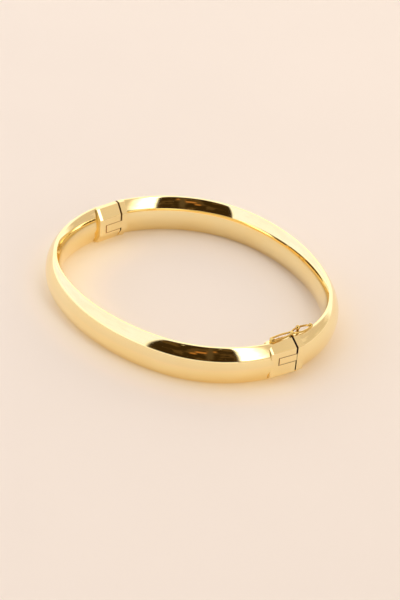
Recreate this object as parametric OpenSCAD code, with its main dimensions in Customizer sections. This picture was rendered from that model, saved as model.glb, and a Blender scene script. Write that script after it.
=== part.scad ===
// Wide hinged bangle, an oval band of hollow tube in two halves.
// It lies on its side: X runs from the hinge to the clasp, Z is the width of the band.

/* [Band] */
// Length of the oval inside the band, from the hinge to the clasp
inner_length = 60; // [56.76:0.36:63.24]
// Depth of the oval inside the band, from the front to the back
inner_depth = 49.2; // [48.12:0.36:50.28]
// Width of the band, which is its height as it lies
band_width = 8.4; // [7.8:0.06:9]
// Radius of the tube's two rounded edges
edge_radius = 0.48; // [0.45:0.03:0.6]
// Thickness of the tube's wall
wall = 0.36; // [0.27:0.03:0.42]

/* [End blocks] */
// Length of the solid block at each end of the front half
block_length = 5.65; // [5.5:0.05:6]
// Length of the solid cap at each end of the back half
cap_length = 1.5; // [1.5:0.05:2]
// Distance from the oval's long axis to the end faces of the blocks
seam_offset = 1.35; // [1.25:0.05:1.35]
// Gap between a block and the cap that faces it
seam_gap = 0.3; // [0.26:0.01:0.34]
// Distance from the block's middle to its flat outer face
block_out = 2.4; // [2.35:0.01:2.45]
// Distance from the block's middle to its flat inner face
block_in = 2; // [1.95:0.01:2.1]
// Height of the block's flat outer face
outer_flat = 5.5; // [5:0.1:5.7]
// Height of the block's flat inner face
inner_flat = 4.1; // [4:0.1:5]
// Width of the flat land along the block's top and bottom edges
edge_land = 1; // [0.9:0.05:1.1]

/* [Hinge] */
// Height of the hinge tongue of the back half
hinge_tongue_h = 1.75; // [1.6:0.05:1.9]
// Distance from the long axis to the free end of the hinge tongue
hinge_tongue_reach = 2.65; // [2.4:0.05:2.7]
// Diameter of the hinge pin
pin_d = 0.9; // [0.8:0.05:0.95]
// Depth of the pin's axis below the outer face
pin_depth = 0.78; // [0.75:0.01:0.85]
// Length of the hinge pin
pin_length = 4.6; // [4:0.1:4.8]

/* [Clasp] */
// Height of the clasp tongue of the back half
clasp_tongue_h = 1.5; // [1.4:0.05:1.7]
// Thickness of the clasp tongue
clasp_tongue_t = 1.8; // [1.4:0.1:2]
// Distance from the long axis to the free end of the clasp tongue
clasp_tongue_reach = 2.4; // [2.1:0.05:2.45]

/* [Safety catch] */
// Diameter of the catch's wire
wire_d = 0.42; // [0.38:0.01:0.44]
// Distance from the catch's pivot to its waist
waist_at = 5.15; // [5.15:0.1:5.25]
// Distance from the catch's pivot to the ball on its tip
tip_at = 10.1; // [9.9:0.05:10.4]
// Half the width of the eye next to the pivot, to the middle of the wire
near_eye_half = 0.65; // [0.62:0.01:0.7]
// Half the width of the eye round the stud, to the middle of the wire
far_eye_half = 0.85; // [0.85:0.01:0.95]
// Diameter of the ball on the catch's tip
tip_ball_d = 0.85; // [0.8:0.05:1]
// Diameter of the ball of the stud
stud_ball_d = 0.9; // [0.8:0.02:0.92]

/* [Hidden] */
$fn = 96;

gold = [0.91, 0.77, 0.44];
far = 60;
overlap = 0.05;

// The section is an outer and an inner dome joined by two small round edges.
// Each direction, from the middle of a round edge, points to where that edge meets a dome.
to_outer_dome = [4.2, 4];
to_inner_dome = [-4, 3];
edge_z = band_width / 2 - edge_radius;
function dome_x(to_dome) = -edge_z * to_dome.x / to_dome.y;
function dome_radius(to_dome) = edge_radius + edge_z * norm(to_dome) / to_dome.y;
bulge_in = dome_radius(to_inner_dome) - dome_x(to_inner_dome);

// The centre line is an oval of four arcs, flatter at the hinge than at the clasp.
// Each direction, from the middle of an end arc, points to where that arc meets a side arc.
to_clasp_join = [8, 15];
to_hinge_join = [9, 40];
function ease(to_join) = (norm(to_join) - to_join.x) / to_join.y;
ease_mean = (ease(to_clasp_join) + ease(to_hinge_join)) / 2;
mid_a = inner_length / 2 + bulge_in;
side_y = (inner_length - inner_depth) / 2 / (1 - ease_mean);
side_radius = mid_a + side_y * ease_mean;
function end_radius(to_join) = side_radius - side_y * norm(to_join) / to_join.y;
function end_x(to_join) = mid_a - end_radius(to_join);
side_x = end_x(to_clasp_join) - side_y * to_clasp_join.x / to_clasp_join.y;

// The blocks are straight and stand at the slant of the front half's ends; the caps slant the other way.
// A block or cap is drawn along Y with its middle line at x = 0.
block_proud = 0.02;
block_half = band_width / 2 + block_proud;
block_turn = 4.5;
block_back = seam_offset - block_length;
cap_start = seam_offset + seam_gap;
cap_end = cap_start + cap_length;
end_plate = 0.5;
block_set_in = 0.62;
block_middle = [mid_a - block_set_in, (block_back + seam_offset) / 2];
cap_step_out = 0.18;
cap_middle = [block_middle.x + cap_step_out, (cap_start + cap_end) / 2];

// Clearances of the two tongues in their slots, and how far each lies above the middle of the band
hinge_tongue_z = -0.5;
clasp_tongue_z = 0.55;
hinge_slot_clear = 0.1;
hinge_slot_end = hinge_tongue_reach + 0.25;
clasp_slot_clear = 0.12;
clasp_slot_end = clasp_tongue_reach + 0.25;
clasp_floor_clear = 0.35;
tongue_root = 0.1;

// The pin is fast in the block's two ears and free in the tongue
pin_x = block_out - pin_depth;
pin_y = -0.5;
ear_bore_d = pin_d + 0.04;
tongue_bore_d = pin_d + 0.1;
ear_bore_length = pin_length + 0.1;

// The catch turns in a small barrel soldered on the block's top edge
catch_turn = 3;
pivot_x = mid_a - 0.52;
pivot_y = -3.2;
pivot_rise = 0.42;
pivot_z = block_half + pivot_rise;
barrel_d = 0.9;
barrel_bore_d = 0.5;
barrel_length = 0.75;
bend_radius = 0.25;
saddle_w = 0.5;
solder_d = 0.9;
solder_h = 0.5;

// The stud stands on the back half's cap, inside the catch's far eye
stud_at = 6.65;
stud_neck_d = 0.6;
stud_root = 0.6;
stud_clear = 0.1;
stud_ball_z = pivot_z + wire_d / 2 + stud_ball_d / 2 + stud_clear;

// The catch's two sides follow arcs that draw in to the waist and to the tip
waist_half = 0.2;
near_straight = 1.9;
function arc_radius(half_chord, rise) = (half_chord * half_chord + rise * rise) / (2 * rise);
near_arc_r = arc_radius(waist_at - near_straight, near_eye_half - waist_half);
far_arc_r = arc_radius((tip_at - waist_at) / 2, far_eye_half - waist_half);
far_arc_turn = asin((tip_at - waist_at) / 2 / far_arc_r);

// One dome of the section, filled as far as the centre line; inset makes the hollow's section
module dome(to_dome, inset) {
    corner = [to_dome.x, edge_z + to_dome.y];
    intersection() {
        translate([dome_x(to_dome), 0]) circle(r = dome_radius(to_dome) - inset);
        polygon([[0, -edge_z], [corner.x, -corner.y], corner, [0, edge_z]]);
    }
}

module round_edge(inset) {
    middle = [0, edge_z];
    intersection() {
        translate(middle) circle(r = edge_radius - inset);
        polygon([middle, middle + to_outer_dome, [0, far], middle + to_inner_dome]);
    }
}

// Section of the tube, with x pointing out of the bangle
module tube_section(inset) {
    dome(to_outer_dome, inset);
    dome(to_inner_dome, inset);
    round_edge(inset);
    mirror([0, 1]) round_edge(inset);
}

// Stretch of tube round a centre, kept inside a plan outline and at least start away from the long axis
module stretch(centre, radius, outline, start, inset) {
    intersection() {
        translate([centre.x, centre.y, 0])
            rotate_extrude() translate([radius, 0]) tube_section(inset);
        translate([-far, -start - 2 * far, -far]) cube([2 * far, 2 * far, 2 * far]);
        translate([0, 0, -far]) linear_extrude(2 * far) polygon(outline);
    }
}

// Stretch round one end, drawn at the +X side
module end_stretch(to_join, start, inset) {
    centre = [end_x(to_join), 0];
    meet = centre + 2 * [to_join.x, -to_join.y];
    stretch(centre, end_radius(to_join), [centre, meet, [far, meet.y], [far, far / 2]], start, inset);
}

// Solid half oval on the side of -Y
module half_oval(start, inset) {
    top = [side_x, side_y];
    end_stretch(to_clasp_join, start, inset);
    mirror([1, 0, 0]) end_stretch(to_hinge_join, start, inset);
    stretch(top, side_radius, [top, top - 2 * to_hinge_join, top + 4 * [to_clasp_join.x, -to_clasp_join.y]],
        start, inset);
}

// Hollow half tube on the side of -Y, closed by a plate where it meets its end pieces
module half_tube(starts_at) {
    difference() {
        half_oval(starts_at - overlap, 0);
        half_oval(starts_at + end_plate, wall);
    }
}

// Straight eight-sided length of band, from y0 to y1
module end_piece(y0, y1) {
    translate([0, y1, 0])
        rotate([90, 0, 0])
            linear_extrude(y1 - y0)
                polygon([
                    [block_out, -outer_flat / 2], [block_out, outer_flat / 2],
                    [edge_land / 2, block_half], [-edge_land / 2, block_half],
                    [-block_in, inner_flat / 2], [-block_in, -inner_flat / 2],
                    [-edge_land / 2, -block_half], [edge_land / 2, -block_half]
                ]);
}

// Turns a shape drawn along Y, about the middle of a block or cap at the +X end
module at_end(middle, turn) {
    translate([middle.x, middle.y, 0]) rotate([0, 0, -turn]) translate([0, -middle.y, 0]) children();
}

module at_clasp() {
    at_end(block_middle, block_turn) children();
}

module at_hinge() {
    mirror([1, 0, 0]) at_clasp() children();
}

// Everything on one side of the line y, towards -Y, or towards +Y if way is 1
module side_of(y, way) {
    translate([-far, way > 0 ? y : y - 2 * far, -far]) cube(2 * far);
}

module block() {
    intersection() {
        at_clasp() end_piece(block_back, cap_start);
        side_of(seam_offset, -1);
    }
}

module cap() {
    intersection() {
        at_end(cap_middle, -block_turn) end_piece(seam_offset, cap_end);
        side_of(cap_start, 1);
    }
}

module bar(x0, x1, y0, y1, z, h) {
    translate([x0, y0, z - h / 2]) cube([x1 - x0, y1 - y0, h]);
}

// Moves a shape drawn along +Y from the origin to the catch's pivot
module at_pivot() {
    translate([pivot_x, pivot_y, pivot_z]) rotate([0, 0, catch_turn]) children();
}

module barrel() {
    difference() {
        union() {
            rotate([0, 90, 0]) cylinder(d = barrel_d, h = barrel_length, center = true);
            translate([-barrel_length / 2, -saddle_w / 2, -pivot_rise - overlap])
                cube([barrel_length, saddle_w, pivot_rise + overlap]);
        }
        rotate([0, 90, 0]) cylinder(d = barrel_bore_d, h = 2 * barrel_length, center = true);
    }
}

// Slot right through the hinge block, and the bore of its two ears
module hinge_slot() {
    at_hinge() {
        bar(-block_in - 1, block_out + 1, -hinge_slot_end, cap_start + 1, hinge_tongue_z,
            hinge_tongue_h + 2 * hinge_slot_clear);
        translate([pin_x, pin_y, 0]) cylinder(d = ear_bore_d, h = ear_bore_length, center = true);
    }
}

// Slot of the clasp block, open at its outer face and its end
module clasp_slot() {
    at_clasp()
        bar(block_out - clasp_tongue_t - clasp_floor_clear, block_out + 1, -clasp_slot_end, cap_start + 1,
            clasp_tongue_z, clasp_tongue_h + 2 * clasp_slot_clear);
}

module front_half() {
    color(gold)
        translate([0, 0, block_half])
            difference() {
                union() {
                    half_tube(-block_back);
                    block();
                    mirror([1, 0, 0]) block();
                    at_pivot() barrel();
                }
                hinge_slot();
                clasp_slot();
            }
}

module stud() {
    at_pivot()
        translate([0, stud_at, -pivot_z]) {
            translate([0, 0, block_half - stud_root])
                cylinder(d = stud_neck_d, h = stud_ball_z - block_half + stud_root);
            translate([0, 0, stud_ball_z]) sphere(d = stud_ball_d);
        }
}

module back_half() {
    color(gold)
        translate([0, 0, block_half])
            difference() {
                union() {
                    mirror([0, 1, 0]) half_tube(cap_end);
                    cap();
                    mirror([1, 0, 0]) cap();
                    at_hinge()
                        bar(-block_in, block_out, -hinge_tongue_reach, cap_start + tongue_root, hinge_tongue_z,
                            hinge_tongue_h);
                    at_clasp()
                        bar(block_out - clasp_tongue_t, block_out, -clasp_tongue_reach, cap_start + tongue_root,
                            clasp_tongue_z, clasp_tongue_h);
                    stud();
                }
                at_hinge()
                    translate([pin_x, pin_y, 0]) cylinder(d = tongue_bore_d, h = 2 * block_half, center = true);
            }
}

module hinge_pin() {
    color(gold)
        translate([0, 0, block_half])
            at_hinge() translate([pin_x, pin_y, 0]) cylinder(d = pin_d, h = pin_length, center = true);
}

// Straight wire along +Y
module wire(x, y0, y1) {
    translate([x, y0, 0]) rotate([-90, 0, 0]) cylinder(d = wire_d, h = y1 - y0);
}

module wire_arc(centre, radius, start, sweep) {
    translate([centre.x, centre.y, 0])
        rotate([0, 0, start])
            rotate_extrude(angle = sweep)
                translate([radius, 0]) circle(d = wire_d);
}

// One side of the figure of eight, from the barrel to the tip
module catch_side() {
    near_turn = asin((waist_at - near_straight) / near_arc_r);
    wire_arc([near_eye_half - bend_radius, bend_radius], bend_radius, -90, 90);
    wire(near_eye_half, bend_radius, near_straight);
    wire_arc([near_eye_half - near_arc_r, near_straight], near_arc_r, 0, near_turn);
    wire_arc([far_eye_half - far_arc_r, (waist_at + tip_at) / 2], far_arc_r, -far_arc_turn, 2 * far_arc_turn);
}

module safety_catch() {
    cross = near_eye_half - bend_radius;
    color(gold)
        translate([0, 0, block_half])
            at_pivot() {
                rotate([0, 90, 0]) cylinder(d = wire_d, h = 2 * cross, center = true);
                catch_side();
                mirror([1, 0, 0]) catch_side();
                translate([0, waist_at, 0]) cylinder(d = solder_d, h = solder_h, center = true);
                translate([0, tip_at, 0]) sphere(d = tip_ball_d);
            }
}

front_half();
back_half();
hinge_pin();
safety_catch();
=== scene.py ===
"""Wide hinged bangle of polished gold, lying on its side on a pale table.

Lengths are written in millimetres, in the frame of the solid model, and made metres where a mesh is built.
"""

import bpy
import numpy as np
from mathutils import Matrix


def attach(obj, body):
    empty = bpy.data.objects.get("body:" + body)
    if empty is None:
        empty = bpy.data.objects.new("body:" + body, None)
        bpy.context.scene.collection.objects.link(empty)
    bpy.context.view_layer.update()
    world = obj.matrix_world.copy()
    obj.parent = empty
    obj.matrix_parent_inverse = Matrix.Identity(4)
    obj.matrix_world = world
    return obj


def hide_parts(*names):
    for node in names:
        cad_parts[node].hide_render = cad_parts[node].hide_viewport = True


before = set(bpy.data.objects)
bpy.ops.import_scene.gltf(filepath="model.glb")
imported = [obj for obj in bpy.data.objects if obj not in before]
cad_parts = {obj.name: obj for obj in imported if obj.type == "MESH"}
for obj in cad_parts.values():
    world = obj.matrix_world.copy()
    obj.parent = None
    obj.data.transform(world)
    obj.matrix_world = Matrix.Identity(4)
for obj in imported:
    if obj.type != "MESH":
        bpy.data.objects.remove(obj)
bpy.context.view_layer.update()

# Table and room. The bangle lies on a pale cream table in a bright room, with a large window on one side and
# an unlit part of the room beside it. The gold is a mirror, so these decide most of what it shows. Each part
# of the room is a glowing sheet on a dome round the bangle.


class Wire:
    """A shader socket that takes part in Python arithmetic: an expression adds its Math nodes."""

    def __init__(self, tree, socket):
        self.tree, self.socket = tree, socket

    def node(self, kind, settings=None, out=0, **inputs):
        """Adds any node: its settings first, then values or links by a socket's name, or _ and its number."""
        made = self.tree.nodes.new(kind)
        for name, value in (settings or {}).items():
            setattr(made, name, value)
        for name, value in inputs.items():
            socket = made.inputs[int(name[1:]) if name[0] == "_" else name]
            if isinstance(value, Wire):
                self.tree.links.new(value.socket, socket)
            else:
                socket.default_value = value
        return Wire(self.tree, made.outputs[out])

    def math(self, operation, a, b=0.0):
        return self.node("ShaderNodeMath", {"operation": operation}, _0=a, _1=b)

    def __add__(self, other):
        return self.math("ADD", self, other)

    def __radd__(self, other):
        return self.math("ADD", other, self)

    def __sub__(self, other):
        return self.math("SUBTRACT", self, other)

    def __rsub__(self, other):
        return self.math("SUBTRACT", other, self)

    def __mul__(self, other):
        return self.math("MULTIPLY", self, other)

    def __rmul__(self, other):
        return self.math("MULTIPLY", other, self)

    def __truediv__(self, other):
        return self.math("DIVIDE", self, other)

    def __rtruediv__(self, other):
        return self.math("DIVIDE", other, self)

    def root(self):
        return self.math("SQRT", self)

    def size(self):
        """This without its sign."""
        return self.math("ABSOLUTE", self)

    def band(self, low, high):
        """0 below low, 1 above high, smooth between."""
        return self.node("ShaderNodeMapRange", {"interpolation_type": "SMOOTHSTEP"}, _0=self, _1=low, _2=high)

    def mix(self, low, high):
        """Colour low where this is 0 and high where it is 1. Either may be a colour's socket."""
        low, high = (end if isinstance(end, Wire) else (*end, 1) for end in (low, high))
        return self.node("ShaderNodeMix", {"data_type": "RGBA"}, out=2, _0=self, _6=low, _7=high)


def new_material(name):
    """An empty Principled material: its tree as a Wire to start expressions from, and its shader node."""
    material = bpy.data.materials.new(name)
    material.use_nodes = True
    tree = material.node_tree
    return material, Wire(tree, None), tree.nodes["Principled BSDF"]


def feed(wire, shader, name):
    wire.tree.links.new(wire.socket, shader.inputs[name])


def mesh_object(name, sheets):
    """One object from sheets of points. A sheet is (points, normals, closed), both arrays of rows x
    columns x 3 in mm, with each row closed to a ring or not; or (ring, normal) for a flat end, filled
    inside its ring. Faces are turned to agree with the normals."""
    points, normals, corners, starts = [], [], [], []
    count, corner_count = 0, 0
    for sheet in sheets:
        if len(sheet) == 3:
            grid, grid_normals, closed = sheet
            rows, columns = grid.shape[:2]
            j = np.arange(columns if closed else columns - 1)
            near = np.arange(rows - 1)[:, None] * columns
            far, after = near + columns, (j + 1) % columns
            quads = np.stack([near + j, near + after, far + after, far + j], -1).reshape(-1, 4)
            flat = grid.reshape(-1, 3)[quads]
            facing = np.cross(flat[:, 2] - flat[:, 0], flat[:, 3] - flat[:, 1])
            if (facing * grid_normals.reshape(-1, 3)[quads[:, 0]]).sum() < 0:
                quads = quads[:, ::-1]
            corners.append(quads.ravel() + count)
            starts.append(corner_count + 4 * np.arange(len(quads)))
            corner_count += quads.size
            points.append(grid.reshape(-1, 3))
            normals.append(grid_normals.reshape(-1, 3))
            count += rows * columns
        else:
            ring, normal = sheet
            after = np.roll(ring, -1, 0)
            if np.cross(ring - ring[0], after - ring[0]).sum(0) @ normal < 0:
                ring = ring[::-1]
            corners.append(np.arange(len(ring)) + count)
            starts.append(np.array([corner_count]))
            corner_count += len(ring)
            points.append(ring)
            normals.append(np.tile(normal, (len(ring), 1)))
            count += len(ring)
    points, normals = np.concatenate(points) * 0.001, np.concatenate(normals)
    corners, starts = np.concatenate(corners), np.concatenate(starts)
    mesh = bpy.data.meshes.new(name)
    mesh.vertices.add(len(points))
    mesh.vertices.foreach_set("co", points.astype(np.float32).ravel())
    mesh.loops.add(len(corners))
    mesh.loops.foreach_set("vertex_index", corners.astype(np.int32))
    mesh.polygons.add(len(starts))
    mesh.polygons.foreach_set("loop_start", starts.astype(np.int32))
    mesh.update(calc_edges=True)
    mesh.shade_smooth()
    mesh.normals_split_custom_set_from_vertices(normals)
    made = bpy.data.objects.new(name, mesh)
    bpy.context.scene.collection.objects.link(made)
    return made


TABLE_HALF = 2500.0
TABLE_COLOUR, TABLE_SHADE = (0.955, 0.845, 0.735), 0.985

table_top = mesh_object("table_top", [(
    np.array([[-1, -1, 0], [1, -1, 0], [1, 1, 0], [-1, 1, 0]]) * TABLE_HALF, (0, 0, 1))])
table_paint, w, shader = new_material("table_paint")
place = w.node("ShaderNodeTexCoord", out=3)
cloud = w.node("ShaderNodeTexNoise", Vector=place, Scale=14.0, Detail=3.0)
shade_colour = tuple(TABLE_SHADE * part for part in TABLE_COLOUR)
feed(cloud.band(0.3, 0.7).mix(TABLE_COLOUR, shade_colour), shader, "Base Color")

# Painted light: the warm light that the gold throws on the table along both its walls is painted on the table
# as a glow of its own, most of it beside the front half, which stays where it is when the bangle opens. In
# metres, the distance from the wall is taken from an ellipse, (sqrt((x / a)^2 + (y / b)^2) - 1) * mean
# radius. The painted light is full up to
# BOUNCE_FULL, falls off with the square of a smooth step, and is gone at BOUNCE_REACH.
BOUNCE_OVAL, BOUNCE_COLOUR = (0.030, 0.0248), (0.17, 0.115, 0.035)
BOUNCE_FULL, BOUNCE_REACH = 0.002, 0.016
BOUNCE_FRONT_Y, BOUNCE_BACK_Y, BOUNCE_BACK_LOSS = -0.006, 0.008, 0.75
x, y = (w.node("ShaderNodeSeparateXYZ", Vector=place, out=k) for k in (0, 1))
x_part, y_part = x / BOUNCE_OVAL[0], y / BOUNCE_OVAL[1]
off = ((x_part * x_part + y_part * y_part).root() - 1) * sum(BOUNCE_OVAL) / 2
glow = (off.size() * -1).band(-BOUNCE_REACH, -BOUNCE_FULL)
front_side = 1 - y.band(BOUNCE_FRONT_Y, BOUNCE_BACK_Y) * BOUNCE_BACK_LOSS
# Painted light: the table glows warm beside the gold, in place of the light that the gold throws on it
feed((glow * glow * front_side).mix((0, 0, 0), BOUNCE_COLOUR), shader, "Emission Color")
shader.inputs["Emission Strength"].default_value = 1.0
shader.inputs["Roughness"].default_value = 0.75
shader.inputs["Specular IOR Level"].default_value = 0.15
table_top.data.materials.append(table_paint)


def room_sheet(name, azimuths, heights, distance, colours, strength, fade):
    """Part of a dome round the bangle. At azimuth a and height h it lies at
    distance * (-sin a cos h, cos a cos h, sin h). It glows with the first of its colours, in patches with the
    second, and thins out over the last degrees, fade, at its low and high azimuth and its foot and top."""
    a, h = (np.radians(np.linspace(*span, count)) for span, count in ((azimuths, 40), (heights, 30)))
    a, h = np.meshgrid(a, h, indexing="ij")
    outward = np.stack([-np.sin(a) * np.cos(h), np.cos(a) * np.cos(h), np.sin(h)], -1)
    made = mesh_object(name, [(outward * distance, -outward, False)])
    glow, w, shader = new_material(name + "_glow")
    place = w.node("ShaderNodeTexCoord", out=3)
    x, y, z = (w.node("ShaderNodeSeparateXYZ", Vector=place, out=k) for k in range(3))
    azimuth = w.math("ARCTAN2", 0.0 - x, y) * (180 / np.pi)
    height = w.math("ARCTAN2", z, (x * x + y * y).root()) * (180 / np.pi)
    (low, high), (foot, top) = azimuths, heights
    solid = azimuth.band(low, low + fade[0]) * (1 - azimuth.band(high - fade[1], high))
    solid = solid * height.band(foot, foot + fade[2]) * (1 - height.band(top - fade[3], top))
    cloud = w.node("ShaderNodeTexNoise", Vector=place, Scale=3.0, Detail=2.0)
    feed(cloud.band(0.5, 0.62).mix(*colours), shader, "Emission Color")
    feed(solid, shader, "Alpha")
    shader.inputs["Base Color"].default_value = (0, 0, 0, 1)
    shader.inputs["Roughness"].default_value = 1.0
    shader.inputs["Specular IOR Level"].default_value = 0.0
    shader.inputs["Emission Strength"].default_value = strength
    made.data.materials.append(glow)


room_sheet("bright_wall", (78, 184), (-2, 72), 1700.0,
           ((0.97, 1.0, 1.18), (0.92, 0.95, 1.1)), 1.12, (25, 6, 12, 8))
room_sheet("window", (-108, -70), (3, 72), 1600.0,
           ((1.0, 0.98, 0.96), (0.8, 0.76, 0.7)), 3.4, (6, 22, 4, 10))
room_sheet("tan_wall", (-105, 6), (-1, 74), 1650.0,
           ((0.72, 0.585, 0.46), (0.86, 0.72, 0.59)), 1.0, (1, 14, 3, 8))
room_sheet("dark_room", (-180, -98.5), (1, 84), 1500.0,
           ((0.04, 0.021, 0.005), (0.1, 0.055, 0.018)), 1.0, (3, 7, 3, 8))

# A warm lit rail, a pale strip and two small ceiling lights in the unlit part, nearer than its dome
LIGHT_DISTANCE = 1450.0
for name, azimuths, heights, colour, side_fade, end_fade in (
        ("lit_rail", (-148, -139), (22, 30), (0.45, 0.18, 0.04), 3, 3),
        ("lit_rail", (-144, -129), (29, 37), (0.5, 0.2, 0.05), 4, 3),
        ("lit_rail", (-133, -120), (36, 44), (0.45, 0.18, 0.04), 4, 3),
        ("pale_strip", (-133, -123), (4, 66), (0.1, 0.062, 0.026), 4, 12),
        ("ceiling_light", (-161, -156), (47, 50), (0.9, 0.75, 0.5), 1.5, 1.2),
        ("ceiling_light", (-119, -114), (50, 53), (0.9, 0.75, 0.5), 1.5, 1.2)):
    room_sheet(name, azimuths, heights, LIGHT_DISTANCE, (colour, colour), 1.0,
               (side_fade, side_fade, end_fade, end_fade))

world = bpy.data.worlds.new("pale_room")
world.use_nodes = True
bpy.context.scene.world = world
room = world.node_tree.nodes["Background"]
room.inputs["Color"].default_value = (1.0, 0.955, 0.9, 1)
room.inputs["Strength"].default_value = 1.3
bpy.context.scene.view_settings.view_transform = "Standard"

# Camera. The photo looks down at 31 degrees onto the clasp's side of the front half, from about 0.4 m.
# Its place and aim come from a fit of the bangle's outlines.
CAMERA_PLACE = np.array([285.041, -220.386, 221.012])
CAMERA_AIM = np.array([-0.67216177, 0.52515033, -0.52193457])
CAMERA_ROLL = 4.6046
CAMERA_LENS_PX, FRAME_WIDTH_PX, SENSOR_MM = 2000.0, 400.0, 36.0

right = np.cross(CAMERA_AIM, (0, 0, 1.0))
right /= np.linalg.norm(right)
up = np.cross(right, CAMERA_AIM)
turn = np.radians(CAMERA_ROLL)
right, up = right * np.cos(turn) + up * np.sin(turn), up * np.cos(turn) - right * np.sin(turn)
camera = bpy.data.objects.new("camera", bpy.data.cameras.new("camera"))
bpy.context.scene.collection.objects.link(camera)
bpy.context.scene.camera = camera
pose = np.eye(4)
pose[:3, 0], pose[:3, 1], pose[:3, 2], pose[:3, 3] = right, up, -CAMERA_AIM, CAMERA_PLACE * 0.001
camera.matrix_world = Matrix(pose.tolist())
camera.data.sensor_fit = "HORIZONTAL"
camera.data.sensor_width = SENSOR_MM
camera.data.lens = CAMERA_LENS_PX / FRAME_WIDTH_PX * SENSOR_MM
camera.data.clip_start, camera.data.clip_end = 0.02, 20.0

# Tube of the two halves. Thin 14 carat sheet drawn to a hollow tube with two domes and round edges, bent to
# an oval and polished. Its ends are soldered to the solid blocks and caps.

# BLOCK_HALF is half the blocks' height, and so how high the band's middle lies. A dome is (centre, radius,
# degrees from its middle to the round edge). The reaches are those of the tube's centre line, whose arcs
# change over at the two directions. The spans are where each half begins and ends.
BLOCK_HALF = 4.22
EDGE_Z, EDGE_RADIUS = 3.72, 0.48
OUTER_DOME = (-3.906, 5.874, np.degrees(np.arctan2(4.0, 4.2)))
INNER_DOME = (4.96, 6.68, np.degrees(np.arctan2(3.0, 4.0)))
CLASP_REACH_X, HINGE_REACH_X, SIDE_REACH_Y = 31.72, -31.72, 26.32
SIDE_MIDDLE_X = -1.8
CLASP_CHANGE, HINGE_CHANGE, ARC_BLEND = 61.93, 102.68, 9.0
FRONT_SPAN, BACK_SPAN = (-171.7, -8.9), (6.7, 173.8)
STEPS_ALONG, STEPS_HALF_ROUND = 420, 61


def turned_curve(angles, radii):
    """Plane curve from 0, 0, from its radius of curvature at each direction of its normal: the points are
    the running sum of radius * (-sin, cos) * step."""
    a = np.radians(angles)
    middle, step = (a[1:] + a[:-1]) / 2, np.diff(a)
    radius = (radii[1:] + radii[:-1]) / 2
    steps = np.stack([-np.sin(middle), np.cos(middle)], -1) * (radius * step)[:, None]
    return np.concatenate([np.zeros((1, 2)), np.cumsum(steps, 0)])


def oval_quarter(change, length, depth):
    """Centre line from the end of the oval, at 0 degrees, to its side, at 90: a turned_curve. Its radius goes
    smoothly from the end's to the side's, both worked out so that it comes out length long and depth deep."""
    fine = np.linspace(0, 90, 3601)
    blend = np.clip((fine - change + ARC_BLEND) / (2 * ARC_BLEND), 0, 1)
    blend = blend * blend * (3 - 2 * blend)
    whole_end = turned_curve(fine, 1 - blend)[-1]
    whole_side = turned_curve(fine, blend)[-1]
    radii = np.linalg.solve(np.array([whole_end, whole_side]).T, [-length, depth])
    return fine, turned_curve(fine, radii[0] * (1 - blend) + radii[1] * blend) + [length, 0]


def oval_line(angles):
    """Centre line of the oval at each direction of its outward normal, in degrees from +X: a quarter for
    the clasp end and a longer, flatter one for the hinge end, that meet at the side, and their mirror."""
    fine, clasp = oval_quarter(CLASP_CHANGE, CLASP_REACH_X - SIDE_MIDDLE_X, SIDE_REACH_Y)
    fine, hinge = oval_quarter(180 - HINGE_CHANGE, SIDE_MIDDLE_X - HINGE_REACH_X, SIDE_REACH_Y)
    c, s = np.cos(np.radians(angles)), np.sin(np.radians(angles))
    folded = np.degrees(np.arccos(np.abs(c)))
    x, y = (np.where(c > 0, np.interp(folded, fine, clasp[:, k]), np.interp(folded, fine, hinge[:, k]))
            for k in (0, 1))
    return np.stack([SIDE_MIDDLE_X + np.sign(c) * x, np.sign(s) * y], -1)


def tube_profile(count):
    """Section of the tube at each direction t of its normal: dome centre + dome radius * (cos t, sin t),
    and the same about (0, EDGE_Z) for the round edges between the domes. Gives points and normals."""
    (outer_centre, outer_radius, outer_end), (inner_centre, inner_radius, inner_end) = OUTER_DOME, INNER_DOME
    spans = np.array([0, outer_end, 180 - inner_end, 180])
    shares = np.array([0.36, 0.22, 0.42])
    t = np.interp(np.linspace(0, 1, count), np.concatenate([[0], np.cumsum(shares)]), spans)
    c, s = np.cos(np.radians(t)), np.sin(np.radians(t))
    outer, inner = t <= spans[1], t >= spans[2]
    r = np.where(inner, inner_centre + inner_radius * c, EDGE_RADIUS * c)
    r = np.where(outer, outer_centre + outer_radius * c, r)
    z = np.where(inner, inner_radius * s, EDGE_Z + EDGE_RADIUS * s)
    z = np.where(outer, outer_radius * s, z)
    top = np.stack([r, z, c, s], -1)
    low = top[-2:0:-1] * [1, -1, 1, -1]
    ring = np.concatenate([top, low])
    return ring[:, :2], ring[:, 2:]


def tube_sheet(span):
    """Surface P(a, t) = oval(a) + r(t) * (cos a, sin a), with z(t) for its height."""
    angles = np.linspace(*span, STEPS_ALONG)
    line, (section, section_normal) = oval_line(angles), tube_profile(STEPS_HALF_ROUND)
    c, s = np.cos(np.radians(angles))[:, None], np.sin(np.radians(angles))[:, None]
    r, z = section[None, :, 0], section[None, :, 1]
    points = np.stack([line[:, :1] + r * c, line[:, 1:] + r * s, BLOCK_HALF + z + 0 * c], -1)
    nr, nz = section_normal[None, :, 0], section_normal[None, :, 1]
    normals = np.stack([nr * c, nr * s, nz + 0 * c], -1)
    return points, normals, True


front_tube = mesh_object("front_tube", [tube_sheet(FRONT_SPAN)])
back_tube = mesh_object("back_tube", [tube_sheet(BACK_SPAN)])

# Polished gold: a mirror whose colour drifts a little, with fine scratches and the slow swell that hand
# polishing leaves. The bands of painted shade in the seams' gaps are in millimetres.
GOLD, GOLD_WARM = (1.0, 0.855, 0.49), (1.0, 0.835, 0.45)
SCRATCH_DULL, SCRATCH_DEPTH, GAP_SHADE_DULL = 0.05, 0.00002, 0.3
# Painted light and shade of the seams: the slot's painted glow, and the width and fades of the painted shade
# in the gaps
SLOT_GLOW, SLOT_HALF = (0.17, 0.05, 0.004), 0.055
GAP_SHADE_FADE, SEAM_FADE, SEAM_TOP_FADE = 0.04, 0.05, 0.1


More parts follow.
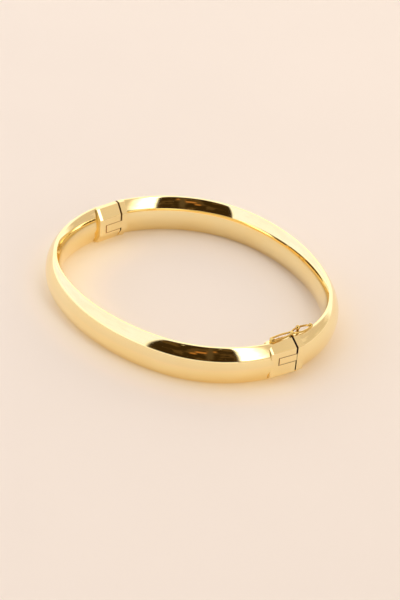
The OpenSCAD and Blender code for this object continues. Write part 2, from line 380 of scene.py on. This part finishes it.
def polished_gold(name, roughness, waviness, metal=(GOLD, GOLD_WARM), seam=None, gap_shade_colour=None):
    """Gold whose colour drifts softly, whose roughness follows fine scratches, and whose bump is the slow
    unevenness that polishing leaves. A seam is (low, high, end) of the tongue that crosses it: the walls of
    the slot round the tongue and of the gap above it are painted dark brown and dull, as painted shade of
    the narrow gaps, and the slot's walls have a faint painted glow in place of the light thrown to and fro in
    it."""
    material, w, shader = new_material(name)
    place = w.node("ShaderNodeTexCoord", out=3)
    drift = w.node("ShaderNodeTexNoise", Vector=place, Scale=90.0, Detail=2.0)
    scratches = w.node("ShaderNodeTexNoise", Vector=place, Scale=2600.0, Detail=4.0, Roughness=0.7)
    swell = w.node("ShaderNodeTexNoise", Vector=place, Scale=110.0, Detail=1.0)
    colour = drift.band(0.35, 0.65).mix(*metal)
    dull = scratches.band(0.5, 0.8) * SCRATCH_DULL + roughness
    shader.inputs["Metallic"].default_value = 1.0
    if seam:
        (low, high, end), gap = seam, (SEAM + CAP_START) / 2
        gap_half = gap - SEAM + SEAM_EDGE
        y, z = (w.node("ShaderNodeSeparateXYZ", Vector=place, out=k) * 1000 for k in (1, 2))
        side = (z - (low + high) / 2).size() - (high - low) / 2
        from_slot = (w.math("MAXIMUM", side, end - y) - SLOT_HALF).size()
        slot = 1 - from_slot.band(SLOT_HALF, SLOT_HALF + GAP_SHADE_FADE)
        slot = slot * (1 - y.band(SEAM - SEAM_FADE, SEAM))
        across = 1 - (y - gap).size().band(gap_half, gap_half + GAP_SHADE_FADE)
        # Painted shade: the walls of the slot and of the gap above the tongue are coloured dark brown and
        # dulled, as if in the gaps' shade
        gap_shade = w.math("MAXIMUM", slot, across * z.band(high, high + SEAM_TOP_FADE))
        colour = gap_shade.mix(colour, gap_shade_colour)
        dull = gap_shade * GAP_SHADE_DULL + dull
        feed(1 - gap_shade, shader, "Metallic")
        # Painted light: a faint glow on the slot's walls stands in for the light thrown to and fro in it
        feed(slot.mix((0, 0, 0), SLOT_GLOW), shader, "Emission Color")
        shader.inputs["Emission Strength"].default_value = 1.0
    feed(colour, shader, "Base Color")
    feed(dull, shader, "Roughness")
    height = swell * waviness + scratches * SCRATCH_DEPTH
    feed(w.node("ShaderNodeBump", Strength=1.0, Distance=0.001, Height=height), shader, "Normal")
    return material


tube_gold = polished_gold("tube_gold", roughness=0.05, waviness=0.02)
for tube in (front_tube, back_tube):
    tube.data.materials.append(tube_gold)
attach(front_tube, "front")
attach(back_tube, "back")
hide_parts("front_half")
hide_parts("back_half")

# Blocks and caps. Solid gold castings, filed to eight flats with softened edges, soldered to the tube's
# ends. The front half's blocks are slotted for the tongues, which belong to the back half's caps.

# A block is drawn along Y, with x outwards and z from the band's middle, and then turned about its middle.
BLOCK_OUT, BLOCK_IN = 2.4, 2.0
OUTER_FLAT, INNER_FLAT, LAND = 2.75, 2.05, 0.5
BLOCK_BACK, SEAM, CAP_START, CAP_END = -4.3, 1.35, 1.65, 3.15
BLOCK_MIDDLE, BLOCK_TURN = (31.1, -1.475), 4.5
CAP_MIDDLE, CAP_TURN = (31.28, 2.4), -4.5
HINGE_TONGUE, HINGE_TONGUE_Z, HINGE_REACH, HINGE_CLEAR = 0.875, -0.5, 2.65, 0.1
CLASP_TONGUE, CLASP_TONGUE_Z, CLASP_REACH, CLASP_CLEAR = 0.75, 0.55, 2.4, 0.12
CLASP_DEPTH, CLASP_FLOOR, SLOT_END_CLEAR = 1.8, 0.35, 0.25
LEAST_RADIUS, BEVEL_TURN = 0.004, 0.08


def filed_outline(corners, radius, inset=0.0, steps=6):
    """Closed outline with rounded corners, moved inwards by inset. Each corner is an arc that touches both
    its sides: centre + r * (unit vector turned from one side's normal to the next side's)."""
    corners = np.asarray(corners, float)
    before = corners - np.roll(corners, 1, 0)
    after = np.roll(corners, -1, 0) - corners
    n0, n1 = (np.stack([way[:, 1], -way[:, 0]], -1) / np.linalg.norm(way, axis=1)[:, None]
              for way in (before, after))
    bend = n0[:, 0] * n1[:, 1] - n0[:, 1] * n1[:, 0]
    side = np.where(bend > 0, 1.0, -1.0)
    arc = np.maximum(radius - side * inset, LEAST_RADIUS)
    out = (n0 + n1) / (1 + (n0 * n1).sum(1))[:, None]
    centre = corners - out * (inset + side * arc)[:, None]
    angle = np.arctan2(bend, (n0 * n1).sum(1))[:, None] * np.linspace(0, 1, steps)[None]
    c, s = np.cos(angle), np.sin(angle)
    normals = np.stack([c * n0[:, :1] - s * n0[:, 1:], s * n0[:, :1] + c * n0[:, 1:]], -1)
    points = centre[:, None] + normals * (side * arc)[:, None, None]
    return points.reshape(-1, 2), normals.reshape(-1, 2)


def filed_bar(corners, radius, y0, y1, round0=0.0, round1=0.0, cut0=0.0, cut1=0.0):
    """Outline in (x, z) carried along Y from y0 to y1, with a flat end at each. An end with a round e
    follows a quarter circle: inset = e (1 - cos t), y = end -+ e (1 - sin t). One with a pair (e along Y,
    d deep) is filed to a plain bevel, whose shading turns over its first part, BEVEL_TURN. The ends are
    slanted in plan: y grows by cut * x."""
    levels = []
    for end, edge, way, cut in ((y0, round0, -1, cut0), (y1, round1, 1, cut1)):
        part = [(end, 0.0, 0.0, cut)]
        if isinstance(edge, tuple):
            e, d = edge
            part = [(end - way * e * (1 - k), d * k, way * tilt * d / np.hypot(e, d), cut)
                    for k, tilt in ((0, 0), (BEVEL_TURN, 1), (1, 1))]
        elif edge:
            t = np.radians(np.linspace(0, 90, 6))
            part = list(zip(end - way * edge * (1 - np.sin(t)), edge * (1 - np.cos(t)),
                            way * np.sin(t), t * 0 + cut))
        levels.append(part if way > 0 else part[::-1])
    grid, grid_normals = [], []
    for y, inset, tilt, cut in levels[0] + levels[1]:
        points, normals = filed_outline(corners, radius, inset)
        flat_normals = normals * np.sqrt(1 - tilt * tilt)
        grid.append(np.stack([points[:, 0], y + cut * points[:, 0], points[:, 1]], -1))
        grid_normals.append(np.insert(flat_normals, 1, tilt, 1))
    grid, grid_normals = np.array(grid), np.array(grid_normals)
    ends = [np.array([c, -1.0, 0]) / np.hypot(c, 1) for c in (cut0, cut1)]
    return [(grid, grid_normals, True), (grid[0][::-1], ends[0]), (grid[-1], -ends[1])]


def at_end(sheets, middle, turn, sign=1):
    """Turns sheets drawn along Y about the middle of a block or cap, lifts them to the middle of the band,
    and mirrors them to the hinge if sign is -1."""
    c, s = np.cos(np.radians(turn)), np.sin(np.radians(turn))

    def placed(v, shift):
        x, y, z = v[..., 0], v[..., 1] - shift * middle[1], v[..., 2]
        return np.stack([sign * (c * x + s * y + shift * middle[0]), c * y - s * x + shift * middle[1],
                         z + shift * BLOCK_HALF], -1)

    return [(placed(points, 1), placed(normals, 0), *closed) for points, normals, *closed in sheets]


def octagon(low=-BLOCK_HALF, high=BLOCK_HALF):
    """The block's eight-sided outline in (x, z), cut off below low and above high."""
    half = [(BLOCK_OUT, -OUTER_FLAT), (BLOCK_OUT, OUTER_FLAT), (LAND, BLOCK_HALF), (-LAND, BLOCK_HALF),
            (-BLOCK_IN, INNER_FLAT), (-BLOCK_IN, -INNER_FLAT), (-LAND, -BLOCK_HALF), (LAND, -BLOCK_HALF)]
    kept = [(x, z) for x, z in half if low <= z <= high]
    if high < BLOCK_HALF:
        at = kept.index((BLOCK_OUT, -OUTER_FLAT)) + 1
        kept[at:at] = [(BLOCK_OUT, high), (-BLOCK_IN, high)]
    if low > -BLOCK_HALF:
        kept = [(BLOCK_OUT, low)] + kept + [(-BLOCK_IN, low)]
    return kept


def clasp_outline():
    """The clasp block's outline round its slot, which is open at the outer face."""
    low, high = CLASP_TONGUE_Z - CLASP_TONGUE - CLASP_CLEAR, CLASP_TONGUE_Z + CLASP_TONGUE + CLASP_CLEAR
    deep = BLOCK_OUT - CLASP_DEPTH - CLASP_FLOOR
    first, *rest = octagon()
    return [first, (BLOCK_OUT, low), (deep, low), (deep, high), (BLOCK_OUT, high)] + rest


def bar_outline(x0, x1, low, high):
    """Oblong in (x, z), its corners in the octagon's order."""
    return [(x1, low), (x1, high), (x0, high), (x0, low)]


# Roundings of the filed edges, the bevels at the tube's side, and how far the solder stands out of the block
FILED, END_EDGE, SEAM_EDGE, TONGUE_EDGE = 0.1, 0.03, 0.06, 0.03
HINGE_BEVEL, CLASP_BEVEL, SOLDER_OUT = (0.6, 0.2), (0.4, 0.12), 0.12
hinge_low = HINGE_TONGUE_Z - HINGE_TONGUE - HINGE_CLEAR
hinge_high = HINGE_TONGUE_Z + HINGE_TONGUE + HINGE_CLEAR
hinge_end, clasp_end = -HINGE_REACH - SLOT_END_CLEAR, -CLASP_REACH - SLOT_END_CLEAR
# The seam lies square to the band, so a turned block's end is slanted and a little longer
slant = np.tan(np.radians(BLOCK_TURN))
seam_y = SEAM + (SEAM - BLOCK_MIDDLE[1]) * (1 / np.cos(np.radians(BLOCK_TURN)) - 1)


def solder_run(inset):
    """Run of solder round the end of a block: the block's outline, set in as far as its bevel, and flat."""
    points, normals = filed_outline(octagon(), FILED, inset)
    rows = np.array([np.insert(points, 1, y, 1) for y in (BLOCK_BACK - SOLDER_OUT, BLOCK_BACK)])
    row_normals = np.array([np.insert(normals, 1, 0, 1)] * 2)
    return [(rows, row_normals, True), (rows[0][::-1], np.array([0, -1.0, 0]))]


hinge_solder = mesh_object("hinge_solder", at_end(solder_run(HINGE_BEVEL[1]), BLOCK_MIDDLE, BLOCK_TURN, -1))
clasp_solder = mesh_object("clasp_solder", at_end(solder_run(CLASP_BEVEL[1]), BLOCK_MIDDLE, BLOCK_TURN))
hinge_block = mesh_object("hinge_block", at_end(
    filed_bar(octagon(), FILED, BLOCK_BACK, hinge_end, round0=HINGE_BEVEL)
    + filed_bar(octagon(low=hinge_high), TONGUE_EDGE, hinge_end, seam_y, round1=SEAM_EDGE, cut1=slant)
    + filed_bar(octagon(high=hinge_low), TONGUE_EDGE, hinge_end, seam_y, round1=SEAM_EDGE, cut1=slant),
    BLOCK_MIDDLE, BLOCK_TURN, -1))
clasp_block = mesh_object("clasp_block", at_end(
    filed_bar(octagon(), FILED, BLOCK_BACK, clasp_end, round0=CLASP_BEVEL)
    + filed_bar(clasp_outline(), TONGUE_EDGE, clasp_end, seam_y, round1=SEAM_EDGE, cut1=slant),
    BLOCK_MIDDLE, BLOCK_TURN))
cap_body = filed_bar(octagon(), FILED, CAP_START, CAP_END, round0=SEAM_EDGE, round1=END_EDGE, cut0=-slant)
hinge_tongue = filed_bar(
    bar_outline(-BLOCK_IN, BLOCK_OUT, HINGE_TONGUE_Z - HINGE_TONGUE, HINGE_TONGUE_Z + HINGE_TONGUE),
    TONGUE_EDGE, -HINGE_REACH, CAP_START + SEAM_EDGE, round0=TONGUE_EDGE)
clasp_tongue = filed_bar(
    bar_outline(BLOCK_OUT - CLASP_DEPTH, BLOCK_OUT,
                CLASP_TONGUE_Z - CLASP_TONGUE, CLASP_TONGUE_Z + CLASP_TONGUE),
    TONGUE_EDGE, -CLASP_REACH, CAP_START + SEAM_EDGE, round0=TONGUE_EDGE)
hinge_cap = mesh_object("hinge_cap", at_end(cap_body, CAP_MIDDLE, CAP_TURN, -1)
                        + at_end(hinge_tongue, BLOCK_MIDDLE, BLOCK_TURN, -1))
clasp_cap = mesh_object("clasp_cap", at_end(cap_body, CAP_MIDDLE, CAP_TURN)
                        + at_end(clasp_tongue, BLOCK_MIDDLE, BLOCK_TURN))

# Where the two tongues' ends show along the bangle's own Y, at the block's inner and outer face
HINGE_TIP_Y, CLASP_TIP_Y = -2.49, -2.59
# The seams' colours below are painted shade: brown in the hinge's gaps, near black in the clasp's
hinge_gold, clasp_gold = (
    polished_gold(name, 0.07, 0.006, seam=(middle - half, middle + half, tip_y), gap_shade_colour=gap_shade)
    for name, middle, half, tip_y, gap_shade in (
        ("hinge_gold", BLOCK_HALF + HINGE_TONGUE_Z, HINGE_TONGUE, HINGE_TIP_Y, (0.3, 0.15, 0.025)),
        ("clasp_gold", BLOCK_HALF + CLASP_TONGUE_Z, CLASP_TONGUE, CLASP_TIP_Y, (0.05, 0.012, 0.003))))
solder_gold = polished_gold("solder_gold", roughness=0.45, waviness=0.001,
                            metal=((0.98, 0.82, 0.46), (0.92, 0.74, 0.38)))
for piece, body, metal in ((hinge_solder, "front", solder_gold), (clasp_solder, "front", solder_gold),
                           (hinge_block, "front", hinge_gold), (clasp_block, "front", clasp_gold),
                           (hinge_cap, "back", hinge_gold), (clasp_cap, "back", clasp_gold)):
    piece.data.materials.append(metal)
    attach(piece, body)

# Barrel of the catch and ball stud. The barrel is a short gold tube on a small saddle, soldered to the
# clasp block's top edge. The stud is a turned pin with a ball, soldered to the back half's top edge, where
# the clasp cap meets the tube.
PIVOT, PIVOT_TURN = np.array([31.2, -3.2, 8.86]), np.radians(3.0)
BARREL_RADIUS, BARREL_BORE, BARREL_HALF, BARREL_EDGE = 0.45, 0.25, 0.375, 0.05
SADDLE_HALF, SADDLE_EDGE, SADDLE_DROP = 0.25, 0.04, 0.24
STUD_AT, STUD_NECK, STUD_BALL, STUD_BALL_Z = 6.65, 0.3, 0.5, 9.57
STUD_FILLET, STUD_SUNK = 0.12, 0.1


def on_catch(points):
    """From the catch's own axes (x across, y along it from the pivot, z up) to the bangle's."""
    c, s = np.cos(PIVOT_TURN), np.sin(PIVOT_TURN)
    x, y, z = points[..., 0], points[..., 1], points[..., 2]
    return np.stack([c * x - s * y, s * x + c * y, z], -1)


def turned(profile, centre, along, count=40):
    """Profile of (distance from the axis, height) turned about an axis through centre: the point at
    angle a is centre + height * along + distance * (cos a * u + sin a * v)."""
    profile, along = np.asarray(profile, float), np.asarray(along, float)
    u = np.cross(along, (0.0, 0.3, 1.0) if abs(along[2]) < 0.9 else (1.0, 0, 0))
    u /= np.linalg.norm(u)
    v = np.cross(along, u)
    a = np.linspace(0, 2 * np.pi, count, endpoint=False)
    ring = np.cos(a)[:, None] * u + np.sin(a)[:, None] * v
    step = np.gradient(profile, axis=0)
    slope = np.stack([step[:, 1], -step[:, 0]], -1)
    slope /= np.maximum(np.linalg.norm(slope, axis=1), 1e-9)[:, None]
    points = centre + profile[:, 1][:, None, None] * along + profile[:, 0][:, None, None] * ring[None]
    normals = slope[:, 1][:, None, None] * along + slope[:, 0][:, None, None] * ring[None]
    return points, normals, True


def arc_profile(centre_r, centre_h, radius, start, stop, count):
    """Arc of a profile: centre + radius * (cos a, sin a), from start to stop in degrees."""
    a = np.radians(np.linspace(start, stop, count))
    return np.stack([centre_r + radius * np.cos(a), centre_h + radius * np.sin(a)], -1)


bore_corner, rim_corner = BARREL_BORE + BARREL_EDGE, BARREL_RADIUS - BARREL_EDGE
corner_h = BARREL_HALF - BARREL_EDGE
barrel_profile = np.concatenate([
    [(BARREL_BORE, 0)],
    arc_profile(bore_corner, -corner_h, BARREL_EDGE, 180, 270, 5),
    arc_profile(rim_corner, -corner_h, BARREL_EDGE, 270, 360, 5),
    arc_profile(rim_corner, corner_h, BARREL_EDGE, 0, 90, 5),
    arc_profile(bore_corner, corner_h, BARREL_EDGE, 90, 180, 5),
    [(BARREL_BORE, 0)]])
across = on_catch(np.array([1.0, 0, 0]))
saddle_outline = bar_outline(-BARREL_HALF, BARREL_HALF, -SADDLE_HALF, SADDLE_HALF)
saddle = [(on_catch(points - [0, 0, SADDLE_DROP]) + PIVOT, on_catch(normals), *closed)
          for points, normals, *closed in filed_bar(saddle_outline, SADDLE_EDGE, -SADDLE_HALF, SADDLE_HALF,
                                                    round0=SADDLE_EDGE, round1=SADDLE_EDGE)]
catch_barrel = mesh_object("catch_barrel", [turned(barrel_profile, PIVOT, across)] + saddle)

# A foot sunk a little into the edge, a fillet up to the neck, and the ball from where it meets the neck
stud_foot = on_catch(np.array([0, STUD_AT, 0.0])) + [PIVOT[0], PIVOT[1], 0]
foot_z, foot_radius = 2 * BLOCK_HALF, STUD_NECK + STUD_FILLET
stud_profile = np.concatenate([
    [(foot_radius, foot_z - STUD_SUNK)],
    arc_profile(foot_radius, foot_z + STUD_FILLET, STUD_FILLET, 270, 180, 6),
    arc_profile(0, STUD_BALL_Z, STUD_BALL, -np.degrees(np.arccos(STUD_NECK / STUD_BALL)), 90, 22)])
ball_stud = mesh_object("ball_stud", [turned(stud_profile, stud_foot, (0, 0, 1.0))])

trim_gold = polished_gold("trim_gold", roughness=0.02, waviness=0.0005,
                          metal=((0.9, 0.68, 0.24), (0.5, 0.28, 0.06)))
for piece, body in ((catch_barrel, "front"), (ball_stud, "back")):
    piece.data.materials.append(trim_gold)
    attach(piece, body)

# Safety catch. One length of round gold wire bent to a figure of eight, its cross piece turning in the
# barrel, with solder run in at the waist and a bead closing the tip.

# The halves are half widths of the loop near the barrel, the far loop and the waist between them. The arcs
# stop WAIST_GAP degrees short of the waist, so that the wire goes round it softly.
WIRE_RADIUS, BEND = 0.21, 0.25
WAIST_AT, TIP_AT, NEAR_HALF, FAR_HALF, WAIST_HALF = 5.15, 10.1, 0.65, 0.85, 0.2
CROSS_STRAIGHT, SIDE_MIDDLE, NEAR_STRAIGHT, WAIST_GAP = 0.2, 1.0, 1.9, 3
SOLDER_RADIUS, SOLDER_HALF, SOLDER_ROUND, TIP_RADIUS = 0.45, 0.25, 0.2, 0.49


def catch_line():
    """Half of the wire's centre line in the catch's own plane, from the middle of the cross piece to the
    tip: a straight, a quarter bend, a straight, then an arc to the waist and an arc to the tip."""
    near_rise, far_rise = NEAR_HALF - WAIST_HALF, FAR_HALF - WAIST_HALF
    near_chord, far_chord = WAIST_AT - NEAR_STRAIGHT, (TIP_AT - WAIST_AT) / 2
    near_r = (near_chord ** 2 + near_rise ** 2) / (2 * near_rise)
    far_r = (far_chord ** 2 + far_rise ** 2) / (2 * far_rise)
    near_turn, far_turn = (np.degrees(np.arcsin(q)) for q in (near_chord / near_r, far_chord / far_r))
    return np.concatenate([
        [[0.0, 0.0], [CROSS_STRAIGHT, 0.0]],
        arc_profile(NEAR_HALF - BEND, BEND, BEND, -90, 0, 10),
        [[NEAR_HALF, SIDE_MIDDLE]],
        arc_profile(NEAR_HALF - near_r, NEAR_STRAIGHT, near_r, 0, near_turn - WAIST_GAP, 16),
        arc_profile(FAR_HALF - far_r, (WAIST_AT + TIP_AT) / 2, far_r, WAIST_GAP - far_turn, far_turn, 30)])


def wire_sheet(line, radius, count=20):
    """Round wire along a plane line: line + radius * (cos a * across + sin a * up)."""
    tangent = np.gradient(line, axis=0)
    tangent /= np.linalg.norm(tangent, axis=1)[:, None]
    side = np.stack([tangent[:, 1], -tangent[:, 0], 0 * tangent[:, 0]], -1)
    a = np.linspace(0, 2 * np.pi, count, endpoint=False)
    normals = np.cos(a)[None, :, None] * side[:, None] + np.sin(a)[None, :, None] * np.array([0, 0, 1.0])
    points = np.stack([line[:, 0], line[:, 1], 0 * line[:, 0]], -1)[:, None] + radius * normals
    return on_catch(points[:, ::-1]) + PIVOT, on_catch(normals[:, ::-1]), True


half_line = catch_line()
whole_line = np.concatenate([(half_line * [-1, 1])[:0:-1], half_line])
round_r, round_h = SOLDER_RADIUS - SOLDER_ROUND, SOLDER_HALF - SOLDER_ROUND
solder_profile = np.concatenate([
    [(0.0, -SOLDER_HALF)],
    arc_profile(round_r, -round_h, SOLDER_ROUND, 270, 360, 7),
    arc_profile(round_r, round_h, SOLDER_ROUND, 0, 90, 7),
    [(0.0, SOLDER_HALF)]])
waist = on_catch(np.array([0, WAIST_AT, 0.0])) + PIVOT
tip = on_catch(np.array([0, TIP_AT, 0.0])) + PIVOT
catch_wire = mesh_object("catch_wire", [
    wire_sheet(whole_line, WIRE_RADIUS),
    turned(solder_profile, waist, (0, 0, 1.0)),
    turned(arc_profile(0, 0, TIP_RADIUS, -90, 90, 20), tip, (0, 0, 1.0))])
catch_wire.data.materials.append(trim_gold)
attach(catch_wire, "catch")
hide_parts("safety_catch")

# Hinge pin. A plain gold wire through the hinge tongue, pressed into the block and filed flush, so that it
# is hidden. Its solid stays as it is, with the trim's finish.
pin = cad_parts["hinge_pin"]
for holder in pin.material_slots:
    holder.material = trim_gold
